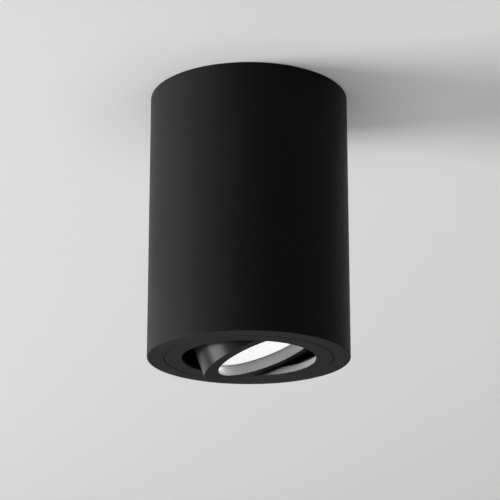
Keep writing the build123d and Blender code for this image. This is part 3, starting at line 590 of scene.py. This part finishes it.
def screw(node, head_r, head_h, shank, drive, dome=0.55):
    """A screw with its head on z = 0 and its shank below. The shank is a list of (radius, z, is threaded)."""
    corners, above = [(0, head_h, 0), (head_r, head_h, head_h * dome), (head_r, 0, 0.1)], 0
    for radius, end, is_threaded in shank:
        if is_threaded:
            corners += threaded(radius, above, end, 0.5 if radius > 1.4 else 0.4)
        else:
            corners += [(radius, above, 0), (radius, end, 0)]
        above = end
    corners += [(0, above, 0)]
    body = turned(rounded(corners, 4), node, 48)
    depth = head_h * 0.55
    if drive == "hex":
        cutters = [peg(head_r * 0.44, 2 * depth, 6)]
    else:
        turns = (0, pi / 2) if drive == "cross" else (0,)
        size = (head_r * 1.15, head_r * 0.26) if drive == "cross" else (head_r * 3, head_r * 0.3)
        blocks = [rounded_block(*size, 2 * depth, size[1] * 0.3, 3) for _ in turns]
        cutters = [moved(block, Matrix.Rotation(turn, 4, "Z")) for block, turn in zip(blocks, turns)]
    cutters = [moved(cutter, Matrix.Translation((0, 0, head_h - depth))) for cutter in cutters]
    for cutter in cutters:
        body = combined(body, [cutter], "DIFFERENCE")
    return body


# ---------------------------------------------------------------------------------------------------------
# Fixed part
# ---------------------------------------------------------------------------------------------------------


def housing():
    """Turned cylinder with its seat and ledge, two pads and the side screws' holes."""
    outline = rounded(
        [
            (INNER_R, 0, 0.2),
            (BODY_R, 0, 0.3),
            (BODY_R, -BODY_H, BODY_BEVEL),
            (SEAT_R, -BODY_H, 0.05),
            (SEAT_R, LEDGE_Z, 0.1),
            (LEDGE_R, LEDGE_Z, 0.15),
            (LEDGE_R, LEDGE_TOP_Z, 0.3),
            (INNER_R - LEDGE_RAMP, LEDGE_TOP_Z, 1.0),
            (INNER_R, LEDGE_TOP_Z + LEDGE_RAMP, 1.0),
        ]
    )
    shell = turned(outline, "housing", 256)
    pads, holes = [], []
    for side in (-1, 1):
        out = Matrix.Translation((0, 0, SIDE_SCREW_Z)) @ Matrix.Rotation(side * pi / 2, 4, "Y")
        pad = rounded_block(PAD_W, PAD_W, PAD_T + WALL_T / 2, PAD_W / 4)
        pads.append(moved(pad, out @ Matrix.Translation((0, 0, PAD_X))))
        holes.append(moved(peg(SIDE_HOLE_R, BODY_R), out @ Matrix.Translation((0, 0, PAD_X / 2))))
    shell = combined(combined(shell, pads, "UNION"), holes, "DIFFERENCE")
    piece("turned_housing", shell, "housing")


def fixed_fittings():
    """Plate, grommet, set screws, terminal strip and earth point in the top of the cylinder."""
    softened("pressed_plate", "mounting_plate", 0.2)
    low_z = -DISH_DEPTH - PLATE_T
    outline = rounded(
        [
            (GROMMET_BORE_R, 1.5 - DISH_DEPTH, 0.6),
            (GROMMET_R, 1.5 - DISH_DEPTH, 0.7),
            (GROMMET_R, -DISH_DEPTH, 0.3),
            (GROMMET_HOLE_R, -DISH_DEPTH, 0.1),
            (GROMMET_HOLE_R, low_z, 0.1),
            (GROMMET_R, low_z, 0.4),
            (GROMMET_R, low_z - 2.0, 0.6),
            (6.0, low_z - 5.0, 0.5),
            (GROMMET_BORE_R, low_z - 5.0, 0.4),
        ]
    )
    piece("rubber_grommet", turned(outline, "cable_grommet", 128), "cable_grommet")

    outline = [(0, 0, 0), (0.7, 0, 0.1), (SET_SCREW_R, SET_SCREW_CONE, 0)]
    outline += threaded(SET_SCREW_R, SET_SCREW_CONE + 0.1, SET_SCREW_L - 0.6, 0.7)
    outline += [(SET_SCREW_R, SET_SCREW_L - 0.5, 0), (SET_SCREW_R, SET_SCREW_L, 0.25), (0, SET_SCREW_L, 0)]
    pin = turned(rounded(outline, 4), "side_screws", 64)
    socket = moved(peg(SOCKET_R, 2 * SOCKET_DEPTH, 6), Matrix.Translation((0, 0, SET_SCREW_L - SOCKET_DEPTH)))
    pin = combined(pin, [socket], "DIFFERENCE")
    places = [((side * SET_SCREW_TIP_X, 0, SIDE_SCREW_Z), (side, 0, 0), 0.2 * side) for side in (-1, 1)]
    repeated("set_screws", pin, places, "side_screws")

    softened("terminal_strip", "terminal_block", 0.35)
    for pole in ("live", "neutral", "earth"):
        softened("clamp_tube_" + pole, "terminal_clamp_" + pole, 0.12)
    down = (0, 0, -1)
    head_z = -PLATE_T - STRIP_H + 0.6 + 1.5
    pattern = screw("terminal_screws", 1.7, 1.5, [(1.3, head_z + PLATE_T + CLAMP_Z, True)], "slot", 0.2)
    spots = [(STRIP_X + side * CLAMP_SPACING / 2, row * POLE_PITCH) for side in (-1, 1) for row in (-1, 0, 1)]
    places = [((x, y, head_z), down, 0.4 + 1.3 * i) for i, (x, y) in enumerate(spots)]
    repeated("clamp_screws", pattern, places, "terminal_screws")
    pattern = screw("terminal_fixing_screws", 2.1, 1.6, [(1.45, -7.3, True)], "cross")
    places = [((STRIP_X, side * POLE_PITCH / 2, -7.5), down, 0.3 + side) for side in (-1, 1)]
    repeated("strip_screws", pattern, places, "terminal_fixing_screws")
    pattern = screw("earth_screw", 3.8, 2.6, [(2.0, -2.8, True)], "cross", 0.4)
    repeated("earth_point_screw", pattern, [((-STRIP_X, 0, -3.0), down, 0.5)], "earth_screw")
    softened("toothed_washer", "earth_washer", 0.08)
    softened("crimped_tag", "earth_tag", 0.12)


# ---------------------------------------------------------------------------------------------------------
# Trim ring
# ---------------------------------------------------------------------------------------------------------


def trim_ring():
    """Flat ring with a flared hole and softly broken edges."""
    outline = rounded(
        [
            (RING_MOUTH_R, -BODY_H, 0.18),
            (RING_R, -BODY_H, 0.06),
            (RING_R, RING_BACK_Z, 0.15),
            (RING_FLARE_R, RING_BACK_Z, 0.12),
            (RING_MOUTH_R, -BODY_H + MOUTH_LAND, 0.4),
        ]
    )
    ring = turned(outline, "trim_ring", 256)
    low, length = RING_BACK_Z - TAP_DEPTH, 2 * TAP_DEPTH
    spots = BRACKET_SCREWS + SPRING_SCREWS
    holes = [moved(peg(TAP_R, length, 32), Matrix.Translation((x, y, low))) for x, y in spots]
    piece("turned_trim_ring", combined(ring, holes, "DIFFERENCE"), "trim_ring")


def ring_fittings():
    """Pivot brackets, springs' and brackets' screws on the ring's back."""
    for side in ("left", "right"):
        softened("bent_bracket_" + side, "pivot_bracket_" + side, 0.2)
    for name, node, spots, sheet in (
        ("bracket_fixings", "bracket_screws", BRACKET_SCREWS, BRACKET_T),
        ("spring_fixings", "spring_screws", SPRING_SCREWS, SPRING_T),
    ):
        shank = [(SMALL_SHANK_R, -sheet - TAP_DEPTH + TIP_GAP, True)]
        pattern = screw(node, SMALL_HEAD_R, SMALL_HEAD_H, shank, "cross")
        places = [((x, y, RING_BACK_Z + sheet), (0, 0, 1), 0.7 * i) for i, (x, y) in enumerate(spots)]
        repeated(name, pattern, places, node)


# ---------------------------------------------------------------------------------------------------------
# Head
# ---------------------------------------------------------------------------------------------------------


def lamp_cup():
    """Turned cup: flat lip, lamp bore, clip groove and a boss at each pivot."""
    bore_back = CLIP_S + CLIP_WIRE_D / 2 + 0.05
    outline = rounded(
        [
            (CUP_MOUTH_R, FACE_S, 0.25),
            (CUP_R, FACE_S, 0.4),
            (CUP_R, CUP_BACK_S, 0.6),
            (CUP_BORE_R, CUP_BACK_S, 0.6),
            (CUP_BORE_R, bore_back, 0.1),
            (CLIP_GROOVE_R, bore_back, 0),
            (CLIP_GROOVE_R, CLIP_S - CLIP_WIRE_D / 2, 0),
            (CUP_BORE_R, CLIP_S - CLIP_WIRE_D / 2, 0.1),
            (CUP_BORE_R, SHOULDER_S, 0.1),
            (CUP_MOUTH_R, SHOULDER_S, 0.15),
        ]
    )
    cup = turned(outline, "lamp_cup", 256)
    bosses, holes = [], []
    for side in (-1, 1):
        out = Matrix.Rotation(-side * pi / 2, 4, "X")
        start = Matrix.Translation((0, 0, CUP_BORE_R + 1))
        bosses.append(moved(peg(BOSS_R, BOSS_Y - CUP_BORE_R - 1, 64), out @ start))
        holes.append(moved(peg(PIVOT_HOLE_R, CUP_R), out @ Matrix.Translation((0, 0, CUP_BORE_R - 4))))
    cup = combined(combined(cup, bosses, "UNION"), holes, "DIFFERENCE")
    piece("turned_lamp_cup", moved(cup, HEAD), "lamp_cup")


def head_fittings():
    """Pivot screws, lamp body, light source, driver, base, pins and holder."""
    stages = [(2.0, -2.1, False), (1.5, -4.7, True)]
    pattern = screw("pivot_screws", 3.4, 1.8, stages, "hex", 0.35)
    places = [((0, side * (EAR_OUT_Y + 0.05), PIVOT_Z), (0, side, 0), 0.3) for side in (-1, 1)]
    repeated("shoulder_screws", pattern, places, "pivot_screws")

    outer = bend((NECK_R, RIM_BACK_S), (NECK_R - LAMP_WALL, 4.6), (TAIL_R, TAIL_S))
    inner = bend((TAIL_R - LAMP_WALL, TAIL_S), (NECK_R - 2 * LAMP_WALL, 4.6), (CHAMBER_R - LAMP_WALL, FLOOR_BACK_S))
    start = rounded(
        [(LENS_R, SHOULDER_S, 0), (LAMP_R, SHOULDER_S, 0.4), (LAMP_R, RIM_BACK_S, 0.5), (NECK_R, RIM_BACK_S, 0)]
    )
    end = [(0, FLOOR_BACK_S), (0, FLOOR_FRONT_S), (CHAMBER_R, FLOOR_FRONT_S)]
    end += [(CHAMBER_R, SHOULDER_S + LENS_T), (LENS_R, SHOULDER_S + LENS_T)]
    outline = [*start, *outer[1:], *inner, *end]
    fluted = [0.0] * len(start)
    fluted += [min(1.0, 6 * share, 6 * (1 - share)) for share in (i / (len(outer) - 1) for i in range(1, len(outer)))]
    fluted += [0.0] * (len(outline) - len(fluted))
    shell = turned(outline, "lamp_shell", 8 * RIBS, fluted, RIBS, FLUTE_DEPTH)
    piece("ribbed_lamp_body", moved(shell, HEAD), "lamp_shell", crease=40)

    def on_axis(s, x=0.0, y=0.0):
        return HEAD @ Vector((x, y, s))

    board_s = FLOOR_FRONT_S - BOARD_T
    places = [(on_axis(board_s), -HEAD_BACK, 0)]
    for turn in (2 * pi * i / CHIP_COUNT for i in range(CHIP_COUNT)):
        spot = on_axis(board_s, CHIP_CIRCLE_R * cos(turn), CHIP_CIRCLE_R * sin(turn))
        places.append((spot, -HEAD_BACK, -turn))
    repeated("light_chips", rounded_block(*CHIP_SIZE, 0.4, 4), places, "leds", 0.1)

    outline = rounded(
        [(0, 4.7 - 5.5, 0), (3.8, 4.7 - 5.5, 0.5), (3.8, 1.0, 0.3), (3.45, 1.6, 0.3), (3.8, 2.2, 0.3)]
        + [(3.8, 10.2, 0.9), (2.9, 10.2, 0.2), (2.8, 10.0, 0.1), (0, 10.0, 0)]
    )
    can = turned(outline, "driver_capacitor", 64)
    piece("capacitor_can", moved(can, HEAD @ Matrix.Translation((0, 4.4, 0))), "driver_capacitor")
    softened("inductor_core", "driver_inductor", 0.4)

    outline = rounded(
        [
            (TAIL_R, TAIL_S, 0.2),
            (13.6, 24.0, 0.3),
            (13.0, 24.2, 0.3),
            (12.8, 25.4, 0.3),
            (13.3, 25.7, 0.3),
            (BASE_END_R, BASE_END_S, 0.8),
            (0, BASE_END_S, 0),
            (0, BASE_END_S - PIN_ROOT, 0),
            (BASE_END_R - BASE_WALL, BASE_END_S - PIN_ROOT, 0.4),
            (TAIL_R - BASE_WALL, TAIL_S, 0.2),
        ]
    )
    base = turned(outline, "lamp_base", 128)
    holes = [moved(peg(1.5, 6.0), Matrix.Translation((0, side * PIN_Y, BASE_END_S - 5.0))) for side in (-1, 1)]
    piece("moulded_lamp_base", moved(combined(base, holes, "DIFFERENCE"), HEAD), "lamp_base")
    outline = rounded(
        [(0, -PIN_ROOT, 0), (1.5, -PIN_ROOT, 0.2), (1.5, 3.5, 0), (2.5, 3.5, 0.3), (2.5, 6.7, 0.8), (0, 6.7, 0)]
    )
    places = [(on_axis(BASE_END_S, 0, side * PIN_Y), HEAD_BACK, 0) for side in (-1, 1)]
    repeated("turned_pins", turned(outline, "lamp_pins", 48), places, "lamp_pins")

    softened("glazed_holder", "holder_body", 0.5)
    softened("glazed_holder_cover", "holder_cover", 0.5)
    pattern = screw("holder_screws", 2.6, 1.6, [(1.5, -14.8, True)], "slot", 0.4)
    places = [(on_axis(HOLDER_BACK_S, 0, side * HOLDER_SCREW_Y), HEAD_BACK, 0.4 * side) for side in (-1, 1)]
    repeated("holder_fixings", pattern, places, "holder_screws")


def bend(first, middle, last, steps=24):
    """Points of a curve from the first point towards the middle one and on to the last."""
    a, b, c = Vector(first), Vector(middle), Vector(last)
    return [a * (1 - t) ** 2 + b * 2 * t * (1 - t) + c * t * t for t in (i / steps for i in range(steps + 1))]


# Discs of light this far in front of the lens: radius, and radiance where a lit white wall is 1
GLOW_GAP = 0.12
GLOW = {"lens_glow": (21.0, 9.5), "lens_core_glow": (12.0, 95.0)}


def opal_window():
    """Opal lens, flat in front, with a softened rim, and the light that it gives, which rides with it."""
    back_s = SHOULDER_S + LENS_T
    outline = rounded([(0, SHOULDER_S, 0), (LENS_R, SHOULDER_S, 0.25), (LENS_R, back_s, 0.1), (0, back_s, 0)])
    window = piece("opal_window", moved(turned(outline, "lamp_lens", 128), HEAD), "lamp_lens")
    for name, (radius, radiance) in GLOW.items():
        light = bpy.data.lights.new(name, "AREA")
        light.shape, light.size, light.energy = "DISK", 2 * radius * MM, radiance * (pi * radius * MM) ** 2
        disc = bpy.data.objects.new(name, light)
        disc.location = (HEAD @ Vector((0, 0, SHOULDER_S - GLOW_GAP))) * MM
        disc.rotation_euler = (0, -TILT, 0)
        disc.visible_camera = False
        bpy.context.scene.collection.objects.link(disc)
        disc.parent = window


# ---------------------------------------------------------------------------------------------------------
# Stage, light and camera
# ---------------------------------------------------------------------------------------------------------

CEILING_R, CEILING_HOLE_R, CEILING_STEPS = 1.5, 0.0435, 64
CEILING_COLOUR = (0.82, 0.82, 0.82)
BACKDROP = (0.12, 0.12, 0.12)
ROOM_LIGHT = 0.02
LAMP_AIM = Vector((0, 0, -0.06))  # the point that the lamps look at

# name: degrees round from the left towards the back, degrees below the ceiling, distance, width, height, power
LAMPS = {
    "left_window": (0, 10, 2.4, 1.3, 1.0, 60.0),
    "low_left_window": (0, 35, 2.4, 1.3, 1.0, 16.2),
    "left_front_window": (-25, 10, 2.4, 1.3, 1.0, 4.1),
    "back_left_wall": (50, 10, 2.4, 1.3, 1.0, 6.1),
    "back_wall": (90, 25, 2.4, 2.0, 1.0, 6.0),
    "low_fill": (-90, 83, 2.6, 2.0, 2.0, 33.5),
    "loft": (0, -90, 1.5, 1.6, 1.6, 60.0),
}

UNREFLECTED = {"back_wall"}  # lamps that light without showing in the flat underside


def ceiling():
    """Pale ceiling, seen from below only. It is open where the housing covers it, and throws no light back."""
    work = bmesh.new()
    turns = [2 * pi * i / CEILING_STEPS for i in range(CEILING_STEPS)]
    rings = []
    for radius in (CEILING_HOLE_R, 0.2, 0.6, CEILING_R):
        rings.append([work.verts.new((radius * cos(turn), radius * sin(turn), 0)) for turn in turns])
    for inner, outer in zip(rings, rings[1:]):
        for i in range(CEILING_STEPS):
            j = (i + 1) % CEILING_STEPS
            work.faces.new((inner[i], inner[j], outer[j], outer[i]))
    mesh = bpy.data.meshes.new("ceiling")
    work.to_mesh(mesh)
    work.free()
    plane = object_of("ceiling", mesh)
    material = bpy.data.materials.new("ceiling_paint")
    material.use_nodes = True
    graph = Graph(material.node_tree)
    graph.tree.nodes.clear()
    paint = graph.node("ShaderNodeBsdfDiffuse", None, {"Color": (*CEILING_COLOUR, 1)})
    away = graph.node("ShaderNodeNewGeometry", output="Backfacing")
    clear = graph.node("ShaderNodeBsdfTransparent")
    seen = graph.node("ShaderNodeMixShader", None, {0: away, 1: paint, 2: clear})
    graph.node("ShaderNodeOutputMaterial", None, {"Surface": seen})
    mesh.materials.append(material)
    plane.visible_diffuse = plane.visible_transmission = False


def world():
    """A dim room, with a grey backdrop for the camera and in what the pieces mirror and let through."""
    room = bpy.data.worlds.new("room")
    bpy.context.scene.world = room
    room.use_nodes = True
    graph = Graph(room.node_tree)
    graph.tree.nodes.clear()
    light = graph.node("ShaderNodeBackground", None, {"Color": (1, 1, 1, 1), "Strength": ROOM_LIGHT})
    backdrop = graph.node("ShaderNodeBackground", None, {"Color": (*BACKDROP, 1), "Strength": 1.0})
    rays = graph.node("ShaderNodeLightPath").socket.node.outputs
    seen = graph.maths("MAXIMUM", Wire(graph, rays["Is Camera Ray"]), Wire(graph, rays["Is Glossy Ray"]))
    seen = graph.maths("MAXIMUM", seen, Wire(graph, rays["Is Transmission Ray"]))
    shown = graph.node("ShaderNodeMixShader", None, {0: seen, 1: light, 2: backdrop})
    graph.node("ShaderNodeOutputWorld", None, {"Surface": shown})


def lamps():
    """Soft rectangular lamps round the light, all pointed at it."""
    for name, (round_left, below, distance, width, height, power) in LAMPS.items():
        turn, drop = radians(round_left), radians(below)
        away = Vector((-cos(turn) * cos(drop), sin(turn) * cos(drop), -sin(drop))) * distance
        light = bpy.data.lights.new(name, "AREA")
        light.shape, light.size, light.size_y, light.energy = "RECTANGLE", width, height, power
        thing = bpy.data.objects.new(name, light)
        thing.location = LAMP_AIM + away
        thing.rotation_euler = (-away).to_track_quat("-Z", "Y").to_euler()
        thing.visible_camera = False
        thing.visible_glossy = name not in UNREFLECTED
        bpy.context.scene.collection.objects.link(thing)


CAMERA_SENSOR, CAMERA_LENS = 36.0, 145.33  # millimetres
CAMERA_PLACE, CAMERA_RISE, CAMERA_TURN = (0.0, -0.8416, -0.3491), 18.312, -0.035  # metres, degrees


def camera():
    """The photograph's camera: below the lamp, looking up at it."""
    data = bpy.data.cameras.new("camera")
    data.sensor_width, data.lens = CAMERA_SENSOR, CAMERA_LENS
    data.clip_start, data.clip_end = 0.05, 50.0
    thing = bpy.data.objects.new("camera", data)
    thing.location = CAMERA_PLACE
    thing.rotation_euler = (radians(90 + CAMERA_RISE), 0, radians(CAMERA_TURN))
    bpy.context.scene.collection.objects.link(thing)
    bpy.context.scene.camera = thing


# ---------------------------------------------------------------------------------------------------------
# The scene
# ---------------------------------------------------------------------------------------------------------

for node in nodes:
    for slot in nodes[node].material_slots:
        slot.material = finishes[slot_of(node)]

housing()
fixed_fittings()
trim_ring()
ring_fittings()
lamp_cup()
head_fittings()
opal_window()

camera()
ceiling()
world()
lamps()

bpy.context.scene.view_settings.view_transform = "Standard"
